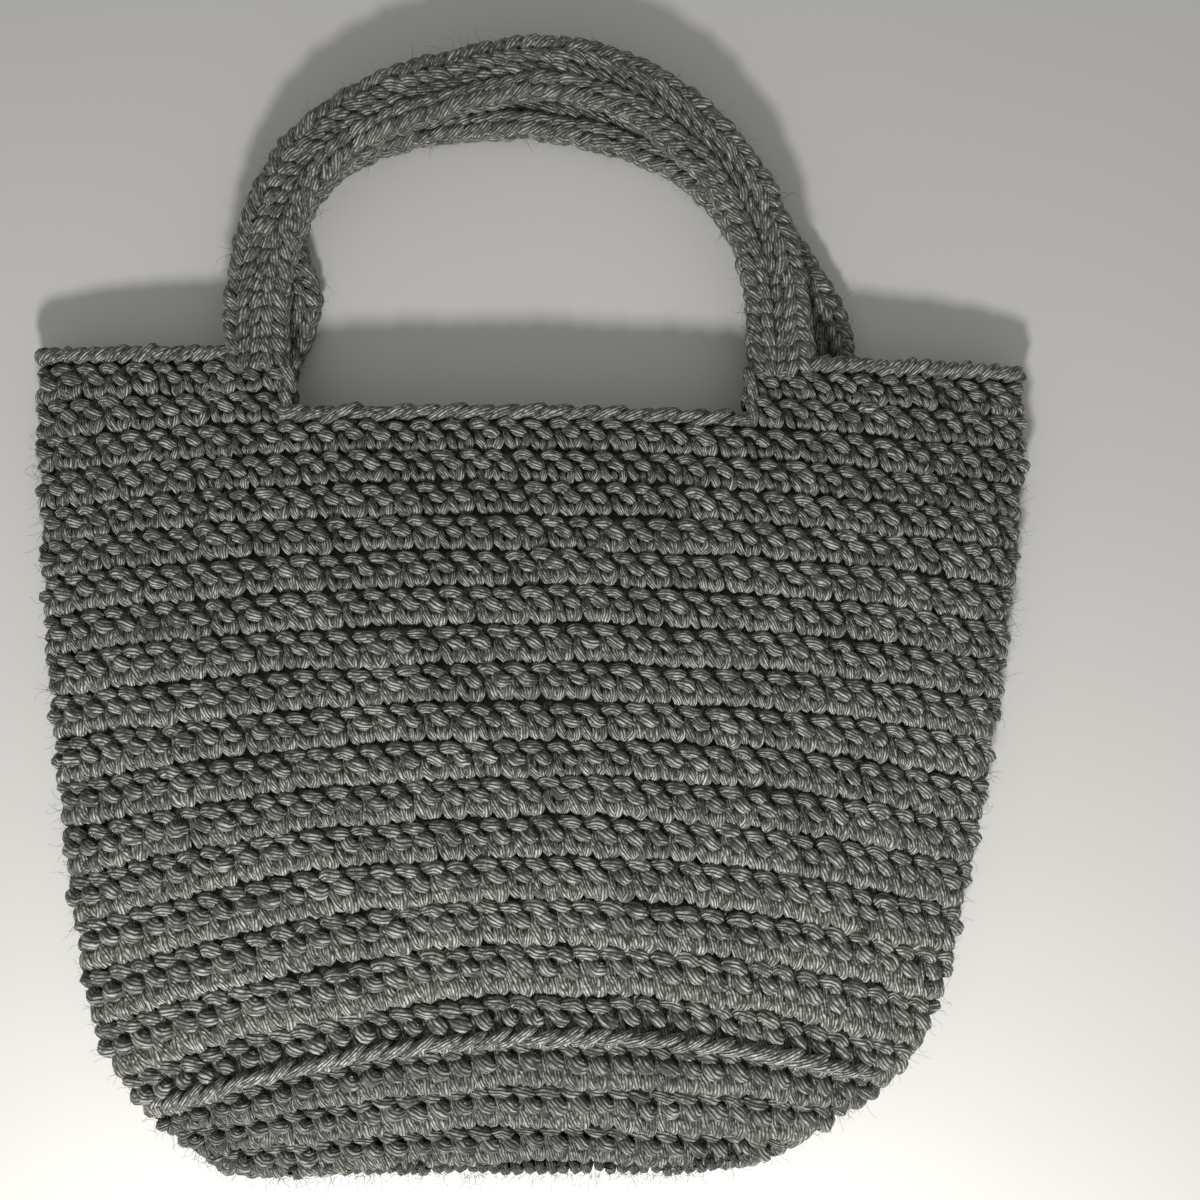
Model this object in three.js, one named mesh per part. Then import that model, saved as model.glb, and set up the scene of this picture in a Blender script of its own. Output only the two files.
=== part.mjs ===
// Crochet handbag lying on its back: a hollow pouch worked in rounds on an oval base that is
// folded along its long axis, with a raised braid round the base, braided rims and two straps.
// Millimetres, +X to the right, +Y towards the handles, +Z up from the table.
import * as THREE from "three";

// Driving dimensions
const WALL = 6; // crochet fabric, two strands thick
const GAP = 0.3; // clearance between neighbouring pieces
const GROOVE_DEPTH = 1.2; // dip between two rounds of stitches
const RIDGE_RADIUS = 2.2; // braid round the base
const BRAID_RADIUS = 2.4; // braid along the rims
const STRAP_WIDTH = 18.5;
const STRAP_THICKNESS = 8;
const STRAP_ROUNDNESS = 0.6; // 1 is an oval band, less is squarer

// Rounds of stitches, counted up from the ridge and down onto the base
const RIM_ROUND = 16; // mouth between the handles
const SHOULDER_ROUND = 18; // rim of the shoulders beside the handles
const BASE_END_ROUND = -3.5; // bottom fold
const POCKET_END_ROUND = -2.5; // floor of the hollow, one wall above the bottom fold
const RIDGE_SPLIT = 0.015; // half the clearance between body and base, as a share of a round

// Sections of the pouch, one row each: the round, its left and right side folds, the middle of its
// front, and the heights of its front, of its side folds and of its back over the table
const SECTION_COLUMNS = ["round", "leftX", "leftY", "rightX", "rightY", "middleY", "front", "fold", "back"];
const SECTION_ROWS = [
  [-3.5, -76, -174, 47, -173, -172.5, 14, 12, 10],
  [-3, -92, -172, 67, -170.5, -166, 18.5, 13, 7.5],
  [-2, -105, -168, 88, -163, -157, 23.5, 13.5, 5.5],
  [-1, -112.5, -162, 101.5, -154, -145, 27, 13.5, 5],
  [0, -117.5, -155, 110.5, -145, -130, 29, 13, 5],
  [1, -128, -143, 120, -134, -115, 30.5, 12, 1.5],
  [2, -135, -128, 126.5, -120, -100, 32.5, 11, 0],
  [4, -141, -97, 133, -92, -74, 34, 10, 0],
  [8, -147, -42, 143, -41, -29, 34, 9.5, 0],
  [12, -151, 7, 149, 5, 15, 31, 9, 0],
  [16, -153.5, 50, 153, 46, 54, 23, 9, 0],
  [18, -152.5, 72.5, 152, 67, 71.5, 20, 9, 0],
];
const SECTIONS = SECTION_ROWS.map((row) =>
  Object.fromEntries(row.map((value, index) => [SECTION_COLUMNS[index], value])),
);
const CORNER_SHARPNESS = 4.5; // how soon the back flattens out from the side folds
const OUTLINE_STEPS = 64; // steps for measuring half a section
const HALVINGS = 40; // steps of the search for a place across the bag
const NEARBY = 0.01; // small step, in rounds or shares, for finding a direction

// Middle lines of the straps, from the left foot to the right foot
const FRONT_STRAP = {
  leftFoot: -83,
  rightFoot: 76,
  footZ: 15,
  topZ: 13,
  arch: [
    { x: -83, y: 94 },
    { x: -78, y: 116 },
    { x: -67, y: 135 },
    { x: -48, y: 149 },
    { x: -25, y: 157 },
    { x: 4, y: 162 },
    { x: 30, y: 156 },
    { x: 49, y: 143 },
    { x: 63, y: 127 },
    { x: 71, y: 109 },
    { x: 75, y: 90 },
  ],
};
const BACK_STRAP = {
  leftFoot: -85.5,
  rightFoot: 92,
  footZ: 4.2,
  topZ: 4.2,
  arch: [
    { x: -75.5, y: 91 },
    { x: -80, y: 110 },
    { x: -76, y: 126 },
    { x: -63, y: 140 },
    { x: -43, y: 149 },
    { x: -16, y: 153 },
    { x: 9, y: 152 },
    { x: 38, y: 144 },
    { x: 56, y: 133 },
    { x: 69, y: 117 },
    { x: 79, y: 101 },
    { x: 88, y: 86 },
  ],
};

// Facets
const HALF_COLUMNS = 24; // across half a round
const SHOULDER_COLUMNS = { frontLeft: 6, frontRight: 6, backRight: 5, backLeft: 7 };
const FOLD_CROWDING = 1.5; // above 1, columns crowd towards the side folds
const ROUND_STEP = 0.5; // facets stand at the grooves and at the crests
const BRAID_SIDES = 8;
const STRAP_STEPS = 40;
const STRAP_SIDES = 12;

// Value of one column of the sections at any round, on a smooth curve through its rows
function columnAt(column, round) {
  const last = SECTIONS.length - 1;
  const slopeAt = (index) => {
    const before = SECTIONS[Math.max(index - 1, 0)];
    const after = SECTIONS[Math.min(index + 1, last)];
    return (after[column] - before[column]) / (after.round - before.round);
  };
  let index = 0;
  while (index < last - 1 && round > SECTIONS[index + 1].round) index += 1;
  const from = SECTIONS[index];
  const to = SECTIONS[index + 1];
  const span = to.round - from.round;
  const p = (round - from.round) / span;
  const ease = p * p * (3 - 2 * p);
  const leave = p * (1 - p) * (1 - p) * span * slopeAt(index);
  const arrive = p * p * (1 - p) * span * slopeAt(index + 1);
  return from[column] + (to[column] - from[column]) * ease + leave - arrive;
}

function sectionAt(round) {
  const section = { round };
  for (const column of SECTION_COLUMNS.slice(1)) section[column] = columnAt(column, round);
  section.back = Math.max(section.back, 0);
  return section;
}

// Point of a section at a turn from its left fold: 0 to 1 crosses the front, 1 to 2 the back.
// The outer skin dips between rounds, and an inset skin is smooth.
function outlinePoint(section, turn, inset) {
  const angle = Math.PI * (1 - turn);
  const across = Math.cos(angle);
  const rise = Math.sin(angle);
  const flatness = Math.sin(Math.min(Math.PI / 2, CORNER_SHARPNESS * Math.asin(Math.abs(rise))));
  const ribbing = rise >= 0 ? 1 : 1 - flatness;
  const dip = inset > 0 ? 0 : GROOVE_DEPTH * ribbing * (1 - Math.abs(Math.sin(Math.PI * section.round)));
  const depth = inset + dip;
  const { leftX, leftY, rightX, rightY, middleY, front, fold, back } = section;
  const x = (leftX + rightX) / 2 + ((rightX - leftX) / 2 - depth) * across;
  const sideY = (leftY + rightY) / 2;
  const y = sideY + ((rightY - leftY) / 2) * across + (middleY - sideY) * (1 - across * across);
  const lift = inset * THREE.MathUtils.smoothstep(-section.round, 0, 2);
  const z = rise >= 0 ? fold + (front - depth - fold) * rise : fold - (fold - back - inset) * flatness;
  return new THREE.Vector3(x, y + lift, z);
}

// Points of a round at even shares of its front, 0 to 1, and of its back, 1 to 2
function roundPoints(round, shares, inset) {
  const section = sectionAt(round);
  const turns = [];
  const lengths = [0];
  let previous = outlinePoint(section, 0, inset);
  for (let step = 0; step <= 2 * OUTLINE_STEPS; step += 1) {
    const turn = step / OUTLINE_STEPS;
    const point = outlinePoint(section, turn, inset);
    turns.push(turn);
    if (step > 0) lengths.push(lengths[step - 1] + point.distanceTo(previous));
    previous = point;
  }
  const frontLength = lengths[OUTLINE_STEPS];
  const backLength = lengths[2 * OUTLINE_STEPS] - frontLength;
  return shares.map((share) => {
    const wrapped = ((share % 2) + 2) % 2;
    const target = wrapped <= 1 ? wrapped * frontLength : frontLength + (wrapped - 1) * backLength;
    let step = 1;
    while (step < 2 * OUTLINE_STEPS && lengths[step] < target) step += 1;
    const part = (target - lengths[step - 1]) / (lengths[step] - lengths[step - 1]);
    return outlinePoint(section, THREE.MathUtils.lerp(turns[step - 1], turns[step], part), inset);
  });
}

// Share of a round at which its front or its back passes a place across the bag
function shareAt(round, onFront, x) {
  let left = onFront ? 0 : 2;
  let right = 1;
  for (let pass = 0; pass < HALVINGS; pass += 1) {
    const middle = (left + right) / 2;
    if (roundPoints(round, [middle], WALL / 2)[0].x < x) left = middle;
    else right = middle;
  }
  return (left + right) / 2;
}

// Direction out of the fabric at a share of a round
function outwardAt(round, share) {
  const [before, after] = roundPoints(round, [share - NEARBY, share + NEARBY], WALL / 2);
  const [lower] = roundPoints(round - NEARBY, [share], WALL / 2);
  const [upper] = roundPoints(round + NEARBY, [share], WALL / 2);
  return after.sub(before).cross(upper.sub(lower)).normalize();
}

// Triangles gathered for one solid
class Faces {
  constructor() {
    this.positions = [];
  }

  triangle(a, b, c) {
    if (a.equals(b) || b.equals(c) || c.equals(a)) return;
    for (const corner of [a, b, c]) this.positions.push(corner.x, corner.y, corner.z);
  }

  quad(a, b, c, d) {
    this.triangle(a, b, c);
    this.triangle(a, c, d);
  }

  geometry() {
    const geometry = new THREE.BufferGeometry();
    geometry.setAttribute("position", new THREE.Float32BufferAttribute(this.positions, 3));
    geometry.computeVertexNormals();
    return geometry;
  }
}

// Even steps between two values, without the last
function spread(from, to, count) {
  return Array.from({ length: count }, (_, index) => from + ((to - from) * index) / count);
}

function stepped(from, to, step) {
  const count = Math.round((to - from) / step);
  return [...spread(from, to, count), to];
}

// Stretches of a round between the side folds and the inner edges of the handles' feet. Columns
// crowd towards the folds, and the shoulders are tall.
function roundStretches() {
  const half = STRAP_WIDTH / 2;
  const frontLeft = shareAt(SHOULDER_ROUND, true, FRONT_STRAP.leftFoot + half);
  const frontRight = shareAt(SHOULDER_ROUND, true, FRONT_STRAP.rightFoot - half);
  const backRight = shareAt(SHOULDER_ROUND, false, BACK_STRAP.rightFoot - half);
  const backLeft = shareAt(SHOULDER_ROUND, false, BACK_STRAP.leftFoot + half);
  const count = SHOULDER_COLUMNS;
  const frontCount = HALF_COLUMNS - count.frontLeft - count.frontRight;
  const backCount = HALF_COLUMNS - count.backRight - count.backLeft;
  const leaveFold = (part) => part ** FOLD_CROWDING;
  const reachFold = (part) => 1 - (1 - part) ** FOLD_CROWDING;
  const even = (part) => part;
  return [
    { from: 0, to: frontLeft, columns: count.frontLeft, tall: true, pace: leaveFold },
    { from: frontLeft, to: frontRight, columns: frontCount, tall: false, pace: even },
    { from: frontRight, to: 1, columns: count.frontRight, tall: true, pace: reachFold },
    { from: 1, to: backRight, columns: count.backRight, tall: true, pace: leaveFold },
    { from: backRight, to: backLeft, columns: backCount, tall: false, pace: even },
    { from: backLeft, to: 2, columns: count.backLeft, tall: true, pace: reachFold },
  ];
}

const STRETCHES = roundStretches();
const SHARES = STRETCHES.flatMap(({ from, to, columns, pace }) =>
  spread(0, 1, columns).map((part) => from + (to - from) * pace(part)),
);
const TALL = STRETCHES.flatMap(({ columns, tall }) => Array(columns).fill(tall));
const COLUMNS = SHARES.length;

// Body: a tube of fabric whose mouth steps up from the rim to the shoulders
function bodyGeometry() {
  const shoulderRounds = stepped(RIM_ROUND, SHOULDER_ROUND, ROUND_STEP);
  const lowerRounds = stepped(ROUND_STEP, RIM_ROUND - ROUND_STEP, ROUND_STEP);
  const outerRounds = [RIDGE_SPLIT, ...lowerRounds, ...shoulderRounds];
  const innerRounds = [RIDGE_SPLIT, ...stepped(1, RIM_ROUND - 1, 1), ...shoulderRounds];
  const outer = outerRounds.map((round) => roundPoints(round, SHARES, 0));
  const inner = innerRounds.map((round) => roundPoints(round, SHARES, WALL));
  const outerRim = outerRounds.indexOf(RIM_ROUND);
  const innerRim = innerRounds.indexOf(RIM_ROUND);

  const faces = new Faces();
  for (let column = 0; column < COLUMNS; column += 1) {
    const after = (column + 1) % COLUMNS;
    const outerTop = TALL[column] ? outer.length - 1 : outerRim;
    const innerTop = TALL[column] ? inner.length - 1 : innerRim;
    for (let row = 0; row < outerTop; row += 1) {
      faces.quad(outer[row][column], outer[row][after], outer[row + 1][after], outer[row + 1][column]);
    }
    for (let row = 0; row < innerTop; row += 1) {
      faces.quad(inner[row][column], inner[row + 1][column], inner[row + 1][after], inner[row][after]);
    }
    faces.quad(outer[0][column], inner[0][column], inner[0][after], outer[0][after]);
    const [outerTopRow, innerTopRow] = [outer[outerTop], inner[innerTop]];
    faces.quad(outerTopRow[column], outerTopRow[after], innerTopRow[after], innerTopRow[column]);
    if (TALL[column] === TALL[after]) continue;
    for (let rise = 0; rise < shoulderRounds.length - 1; rise += 1) {
      const [lowOut, highOut] = [outer[outerRim + rise][after], outer[outerRim + rise + 1][after]];
      const [lowIn, highIn] = [inner[innerRim + rise][after], inner[innerRim + rise + 1][after]];
      if (TALL[column]) faces.quad(lowOut, lowIn, highIn, highOut);
      else faces.quad(lowOut, highOut, highIn, lowIn);
    }
  }
  return faces.geometry();
}

// Base: the folded oval, a cup whose front and back meet in the bottom fold
function baseGeometry() {
  const outerRounds = [...stepped(BASE_END_ROUND, -ROUND_STEP, ROUND_STEP), -RIDGE_SPLIT];
  const innerRounds = [...stepped(POCKET_END_ROUND, -ROUND_STEP, 1), -RIDGE_SPLIT];
  const outer = outerRounds.map((round) => roundPoints(round, SHARES, 0));
  const inner = innerRounds.map((round) => roundPoints(round, SHARES, WALL));
  const [outerTop, innerTop] = [outer.at(-1), inner.at(-1)];

  const faces = new Faces();
  for (let column = 0; column < COLUMNS; column += 1) {
    const after = (column + 1) % COLUMNS;
    for (let row = 0; row < outer.length - 1; row += 1) {
      faces.quad(outer[row][column], outer[row][after], outer[row + 1][after], outer[row + 1][column]);
    }
    for (let row = 0; row < inner.length - 1; row += 1) {
      faces.quad(inner[row][column], inner[row + 1][column], inner[row + 1][after], inner[row][after]);
    }
    faces.quad(outerTop[column], outerTop[after], innerTop[after], innerTop[column]);
  }
  for (let column = 0; column < HALF_COLUMNS; column += 1) {
    const under = (COLUMNS - column) % COLUMNS;
    const underNext = COLUMNS - column - 1;
    faces.quad(outer[0][column], outer[0][under], outer[0][underNext], outer[0][column + 1]);
    faces.quad(inner[0][column], inner[0][column + 1], inner[0][underNext], inner[0][under]);
  }
  return faces.geometry();
}

// Solid through rings of points, closed on itself or capped at its two ends
function loft(rings, isLoop) {
  const faces = new Faces();
  const sides = rings[0].length;
  const last = isLoop ? rings.length : rings.length - 1;
  for (let ring = 0; ring < last; ring += 1) {
    const from = rings[ring];
    const to = rings[(ring + 1) % rings.length];
    for (let side = 0; side < sides; side += 1) {
      const after = (side + 1) % sides;
      faces.quad(from[side], to[side], to[after], from[after]);
    }
  }
  if (!isLoop) {
    const [first, end] = [rings[0], rings.at(-1)];
    for (let side = 1; side < sides - 1; side += 1) {
      faces.triangle(first[0], first[side], first[side + 1]);
      faces.triangle(end[0], end[side + 1], end[side]);
    }
  }
  return faces.geometry();
}

// Ridge: a closed braid that sits on the seam between body and base
function ridgeGeometry() {
  const outwards = SHARES.map((share) => outwardAt(0, share));
  const centres = roundPoints(0, SHARES, 0).map((seat, column) =>
    seat.addScaledVector(outwards[column], RIDGE_RADIUS + GAP),
  );
  const rings = centres.map((centre, column) => {
    const ahead = centres[(column + 1) % COLUMNS];
    const behind = centres[(column + COLUMNS - 1) % COLUMNS];
    const along = ahead.clone().sub(behind).normalize();
    const upward = outwards[column].clone().cross(along).normalize();
    return spread(0, 2 * Math.PI, BRAID_SIDES).map((angle) =>
      centre
        .clone()
        .addScaledVector(outwards[column], RIDGE_RADIUS * Math.cos(angle))
        .addScaledVector(upward, RIDGE_RADIUS * Math.sin(angle)),
    );
  });
  return loft(rings, true);
}

// Braid along a stretch of a rim, standing on the edge of the fabric
function braidGeometry(round, fromShare, toShare) {
  const steps = Math.round((toShare - fromShare) * (toShare > fromShare ? HALF_COLUMNS : -HALF_COLUMNS));
  const shares = stepped(fromShare, toShare, (toShare - fromShare) / steps);
  const below = roundPoints(round - NEARBY, shares, WALL / 2);
  const points = roundPoints(round, shares, WALL / 2).map((seat, index) => {
    const upward = seat.clone().sub(below[index]).normalize();
    return seat.addScaledVector(upward, BRAID_RADIUS + GAP);
  });
  const section = new THREE.Shape().absarc(0, 0, BRAID_RADIUS, 0, 2 * Math.PI);
  return new THREE.ExtrudeGeometry(section, {
    steps,
    curveSegments: BRAID_SIDES,
    extrudePath: new THREE.CatmullRomCurve3(points),
    bevelEnabled: false,
  });
}

// Part of an oval's radius, pushed outward to square the oval off
function squared(part) {
  return Math.sign(part) * Math.abs(part) ** STRAP_ROUNDNESS;
}

// Strap: a rounded band that leaves the shoulders along +Y and arches from foot to foot
function strapGeometry(strap, onFront) {
  const half = STRAP_WIDTH / 2;
  const foot = (x) => {
    const shares = [x - half, x, x + half].map((place) => shareAt(SHOULDER_ROUND, onFront, place));
    const rimY = Math.max(...roundPoints(SHOULDER_ROUND, shares, WALL / 2).map((point) => point.y));
    return new THREE.Vector3(x, rimY + GAP, strap.footZ);
  };
  const [left, right] = [foot(strap.leftFoot), foot(strap.rightFoot)];
  const arch = strap.arch.map(({ x, y }) => new THREE.Vector3(x, y, strap.topZ));
  const path = new THREE.CatmullRomCurve3([left, ...arch, right]);
  const rings = stepped(0, 1, 1 / STRAP_STEPS).map((share, index) => {
    const centre = path.getPointAt(share);
    const along = path.getTangentAt(share);
    if (index === 0) along.set(0, 1, 0);
    if (index === STRAP_STEPS) along.set(0, -1, 0);
    const across = along.clone().cross(new THREE.Vector3(0, 0, 1)).normalize();
    const upward = across.clone().cross(along);
    return spread(0, 2 * Math.PI, STRAP_SIDES).map((angle) => {
      const wide = half * squared(Math.cos(angle));
      const thick = (STRAP_THICKNESS / 2) * squared(Math.sin(angle));
      return centre.clone().addScaledVector(across, wide).addScaledVector(upward, thick);
    });
  });
  return loft(rings, false);
}

// Assembly
const FABRIC_COLOUR = 0x57564f;
const BRAID_COLOUR = 0x5c5b54;
const YARN_ROUGHNESS = 0.95;
const group = new THREE.Group();

function addPiece(name, color, geometry) {
  const yarn = new THREE.MeshStandardMaterial({ color, roughness: YARN_ROUGHNESS, metalness: 0 });
  const piece = new THREE.Mesh(geometry, yarn);
  piece.name = name;
  group.add(piece);
}

// Braid on the mouth between the feet of a handle
function rimEdge(strap, onFront) {
  const inside = STRAP_WIDTH / 2 + GAP + BRAID_RADIUS;
  const left = shareAt(RIM_ROUND, onFront, strap.leftFoot + inside);
  const right = shareAt(RIM_ROUND, onFront, strap.rightFoot - inside);
  return braidGeometry(RIM_ROUND, left, right);
}

const outside = STRAP_WIDTH / 2 + GAP;
const leftFront = shareAt(SHOULDER_ROUND, true, FRONT_STRAP.leftFoot - outside);
const leftBack = shareAt(SHOULDER_ROUND, false, BACK_STRAP.leftFoot - outside) - 2;
const rightFront = shareAt(SHOULDER_ROUND, true, FRONT_STRAP.rightFoot + outside);
const rightBack = shareAt(SHOULDER_ROUND, false, BACK_STRAP.rightFoot + outside);

addPiece("body", FABRIC_COLOUR, bodyGeometry());
addPiece("base", FABRIC_COLOUR, baseGeometry());
addPiece("base_ridge", BRAID_COLOUR, ridgeGeometry());
addPiece("rim_edge_front", BRAID_COLOUR, rimEdge(FRONT_STRAP, true));
addPiece("rim_edge_back", BRAID_COLOUR, rimEdge(BACK_STRAP, false));
addPiece("shoulder_edge_left", BRAID_COLOUR, braidGeometry(SHOULDER_ROUND, leftBack, leftFront));
addPiece("shoulder_edge_right", BRAID_COLOUR, braidGeometry(SHOULDER_ROUND, rightFront, rightBack));
addPiece("handle_front", FABRIC_COLOUR, strapGeometry(FRONT_STRAP, true));
addPiece("handle_back", FABRIC_COLOUR, strapGeometry(BACK_STRAP, false));

// The origin is the middle of the footprint, on the table
const bounds = new THREE.Box3().setFromObject(group);
const middle = bounds.getCenter(new THREE.Vector3());
group.position.set(-middle.x, -middle.y, -bounds.min.z);
group.updateMatrixWorld(true);

export default group;
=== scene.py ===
"""Crochet handbag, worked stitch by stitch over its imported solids.

Each round of the pouch, each rim and each row of the handles is a continuous strand of plied yarn,
swept through the loops of its stitches. Lengths are in millimetres in the bag's own frame, as the
solids were drawn, and become metres when a mesh is made.
"""
import math

import bpy
import numpy as np
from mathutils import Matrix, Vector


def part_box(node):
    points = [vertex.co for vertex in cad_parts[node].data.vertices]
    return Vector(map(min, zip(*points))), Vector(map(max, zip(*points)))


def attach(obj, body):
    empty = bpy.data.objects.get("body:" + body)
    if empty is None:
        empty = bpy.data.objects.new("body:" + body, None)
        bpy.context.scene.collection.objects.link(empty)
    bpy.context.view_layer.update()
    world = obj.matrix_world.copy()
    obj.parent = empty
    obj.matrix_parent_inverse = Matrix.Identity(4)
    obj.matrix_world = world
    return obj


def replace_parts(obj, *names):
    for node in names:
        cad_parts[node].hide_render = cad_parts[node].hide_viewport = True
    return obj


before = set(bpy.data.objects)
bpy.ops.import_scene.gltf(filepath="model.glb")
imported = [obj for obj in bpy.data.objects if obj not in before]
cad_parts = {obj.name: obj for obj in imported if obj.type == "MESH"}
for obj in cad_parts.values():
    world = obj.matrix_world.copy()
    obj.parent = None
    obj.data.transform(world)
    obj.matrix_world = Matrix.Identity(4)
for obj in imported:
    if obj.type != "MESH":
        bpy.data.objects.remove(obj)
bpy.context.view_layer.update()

MM = 0.001
SEED = 41  # added to the number of each round and to these
BASE_SEED = 40
RIDGE_SEED = 61
RIM_SEEDS = (71, 73)
SHOULDER_SEEDS = (75, 77)
FOLD_ROW_SEED = 81
HANDLE_SEEDS = (100, 140)
FUZZ_SEEDS = (200, 201)

# Fabric and yarn
WALL = 6.0
GAP = 0.3
YARN = 3.7  # diameter where a strand lies free
HANDLE_YARN = 3.5
BED = 3.1  # depth of the stitches' middle line below the outer skin
FOLD_BED = -0.8  # the same at the bottom fold, where front and back meet and stand proud
FOLD_BED_ROUND = -2.0  # from which the bed comes up to the fold
STRAND_SIDES = 6

# Rounds, counted up from the ridge and down onto the base
RIM_ROUND = 16
SHOULDER_ROUND = 18
BASE_END_ROUND = -3.5
BASE_ROUNDS = ((0.1, 1.2), (-1.0, 1.36))  # upper end of each and its height in rounds
BOTTOM_ROUND = -2.25  # upper end of the last round, which wraps the bottom fold
BOTTOM_HEIGHT = 12.5
OVERLAP_AT_RIDGE = 0.10  # of a round, by which its legs reach over the round below
OVERLAP_LOSS = 0.011  # for each round above the ridge
ROUND_SHIFT = 0.28  # of a stitch, from one round to the next
PITCH_AT_RIDGE = 7.4
PITCH_GROWTH = 0.045  # for each round above the ridge
# Painted shade: the rounds are painted darker towards the ridge, where the light falls strongest, and paler
# upward
TONE_AT_RIDGE = 0.76
TONE_GROWTH = 0.028  # for each round above the ridge, up to the highest
HIGHEST_TONE = 1.03
RELIEF_AT_RIDGE = 0.55  # of the painted shade in a stitch's depth, here and on the base
RELIEF_GROWTH = 0.05  # for each round, up to the whole
BASE_PITCH = 7.0
BASE_TONE = 0.60  # the base is painted a little darker, a painted shade where the light falls strongest
BASE_BARS = -0.25  # yarn diameters by which its upper bars lie deeper

# Sections of the pouch: the round, its side folds, the middle of its front, and the heights of its
# front, of its side folds and of its back over the table
SECTION_COLUMNS = ("round", "left_x", "left_y", "right_x", "right_y", "middle_y", "front", "fold", "back")
SECTION_ROWS = np.array((
    (-3.5, -76, -174, 47, -173, -172.5, 14, 12, 10),
    (-3, -92, -172, 67, -170.5, -166, 18.5, 13, 7.5),
    (-2, -105, -168, 88, -163, -157, 23.5, 13.5, 5.5),
    (-1, -112.5, -162, 101.5, -154, -145, 27, 13.5, 5),
    (0, -117.5, -155, 110.5, -145, -130, 29, 13, 5),
    (1, -128, -143, 120, -134, -115, 30.5, 12, 1.5),
    (2, -135, -128, 126.5, -120, -100, 32.5, 11, 0),
    (4, -141, -97, 133, -92, -74, 34, 10, 0),
    (8, -147, -42, 143, -41, -29, 34, 9.5, 0),
    (12, -151, 7, 149, 5, 15, 31, 9, 0),
    (16, -153.5, 50, 153, 46, 54, 23, 9, 0),
    (18, -152.5, 72.5, 152, 67, 71.5, 20, 9, 0),
), float)
CORNER_SHARPNESS = 4.5  # how soon the back flattens out from the side folds
OUTLINE_STEPS = 96  # for measuring half a section
BASE_LIFT_ROUNDS = 2  # below the ridge, over which an inner skin is moved up the bag

# Straps: feet, heights and the middle line of the arch from the left foot to the right foot
STRAP_WIDTH = 18.5
STRAP_THICKNESS = 8.0
STRAP_ROUNDNESS = 0.6  # 1 is an oval band, less is squarer
FRONT_STRAP = {
    "feet": (-83, 76),
    "foot_z": 15,
    "top_z": 13,
    "arch": (
        (-83, 94), (-78, 116), (-67, 135), (-48, 149), (-25, 157), (4, 162),
        (30, 156), (49, 143), (63, 127), (71, 109), (75, 90),
    ),
}
BACK_STRAP = {
    "feet": (-85.5, 92),
    "foot_z": 4.2,
    "top_z": 4.2,
    "arch": (
        (-75.5, 91), (-80, 110), (-76, 126), (-63, 140), (-43, 149), (-16, 153),
        (9, 152), (38, 144), (56, 133), (69, 117), (79, 101), (88, 86),
    ),
}

# One stitch of the pouch, in order along its yarn. Columns: share of the pitch, share of the round's
# height, height over the bed in yarn diameters, thickness as a share of the yarn, and whether the
# point is also worked on the back.
STITCH = np.array((
    # left leg, down to the right
    (0.24, 0.62, -0.36, 0.74, 0),
    (0.25, 0.50, -0.10, 0.82, 1),
    (0.28, 0.38, 0.07, 0.88, 0),
    (0.34, 0.25, 0.24, 0.90, 1),
    (0.42, 0.13, 0.32, 0.82, 0),
    (0.50, 0.05, -0.06, 0.64, 1),
    # deep behind it, up again
    (0.47, 0.19, -0.32, 0.66, 0),
    (0.48, 0.35, -0.48, 0.70, 0),
    # right leg, down
    (0.66, 0.33, -0.28, 0.74, 0),
    (0.71, 0.18, 0.22, 0.84, 0),
    (0.76, 0.07, 0.18, 0.72, 0),
    (0.86, 0.01, 0.00, 0.64, 1),
    # and up again, on top
    (0.96, 0.07, 0.28, 0.82, 0),
    (1.02, 0.18, 0.36, 0.92, 1),
    (1.01, 0.30, 0.06, 0.88, 0),
    (1.02, 0.37, -0.36, 0.78, 1),
    # lower bar, back to the left, short and plump
    (0.97, 0.43, -0.28, 0.80, 0),
    (0.89, 0.45, 0.26, 1.00, 1),
    (0.74, 0.505, 0.48, 1.14, 0),
    (0.59, 0.565, 0.30, 1.04, 1),
    (0.48, 0.61, -0.30, 0.80, 1),
    # behind the upper bar
    (0.32, 0.66, -0.50, 0.75, 0),
    (0.00, 0.66, -0.42, 0.74, 1),
    # upper bar, to the right
    (-0.04, 0.775, -0.10, 0.78, 0),
    (0.08, 0.825, 0.22, 0.90, 1),
    (0.30, 0.81, 0.38, 1.00, 1),
    (0.51, 0.75, 0.28, 0.97, 0),
    (0.66, 0.675, -0.12, 0.84, 1),
    # deep above, on to the next stitch
    (0.80, 0.84, -0.40, 0.84, 1),
    (0.98, 0.88, -0.38, 0.84, 0),
    (1.11, 0.76, -0.46, 0.78, 1),
))
# Painted shade of the yarn by its height over the bed in yarn diameters: the deeper, the darker
SHADE_HEIGHTS = (-0.50, -0.15, 0.22, 0.55)
SHADES = (0.34, 0.66, 0.93, 1.03)
FRONT_MARGIN = 0.05  # share of a round past the side folds that is worked as finely as the front
SHOWN_ABOVE = -0.36  # a stitch's spans above this height show, and are drawn finely

# One long loop of the ridge and the rims, in order along its yarn and lying nearly along the braid.
# Columns: share of the pitch, millimetres to the side and outward from the braid's line, and
# thickness as a share of the yarn.
LONG_LOOP = np.array((
    (-0.30, -2.0, -0.9, 0.72),
    (-0.05, -1.5, 0.5, 0.92),
    (0.45, 0.0, 1.2, 1.05),
    (0.95, 1.5, 0.5, 0.92),
    (1.20, 2.0, -0.9, 0.72),
    (1.05, 0.6, -1.7, 0.65),
    (0.85, -0.8, -1.7, 0.65),
))
# One slanted loop of a handle's row, which lies on the end of the loop before it
BRICK = np.array((
    (-0.10, -1.05, -1.1, 0.74),
    (0.10, -0.75, 0.4, 1.00),
    (0.50, 0.00, 1.0, 1.14),
    (0.90, 0.75, 0.4, 1.00),
    (1.10, 1.05, -1.1, 0.74),
))
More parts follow.
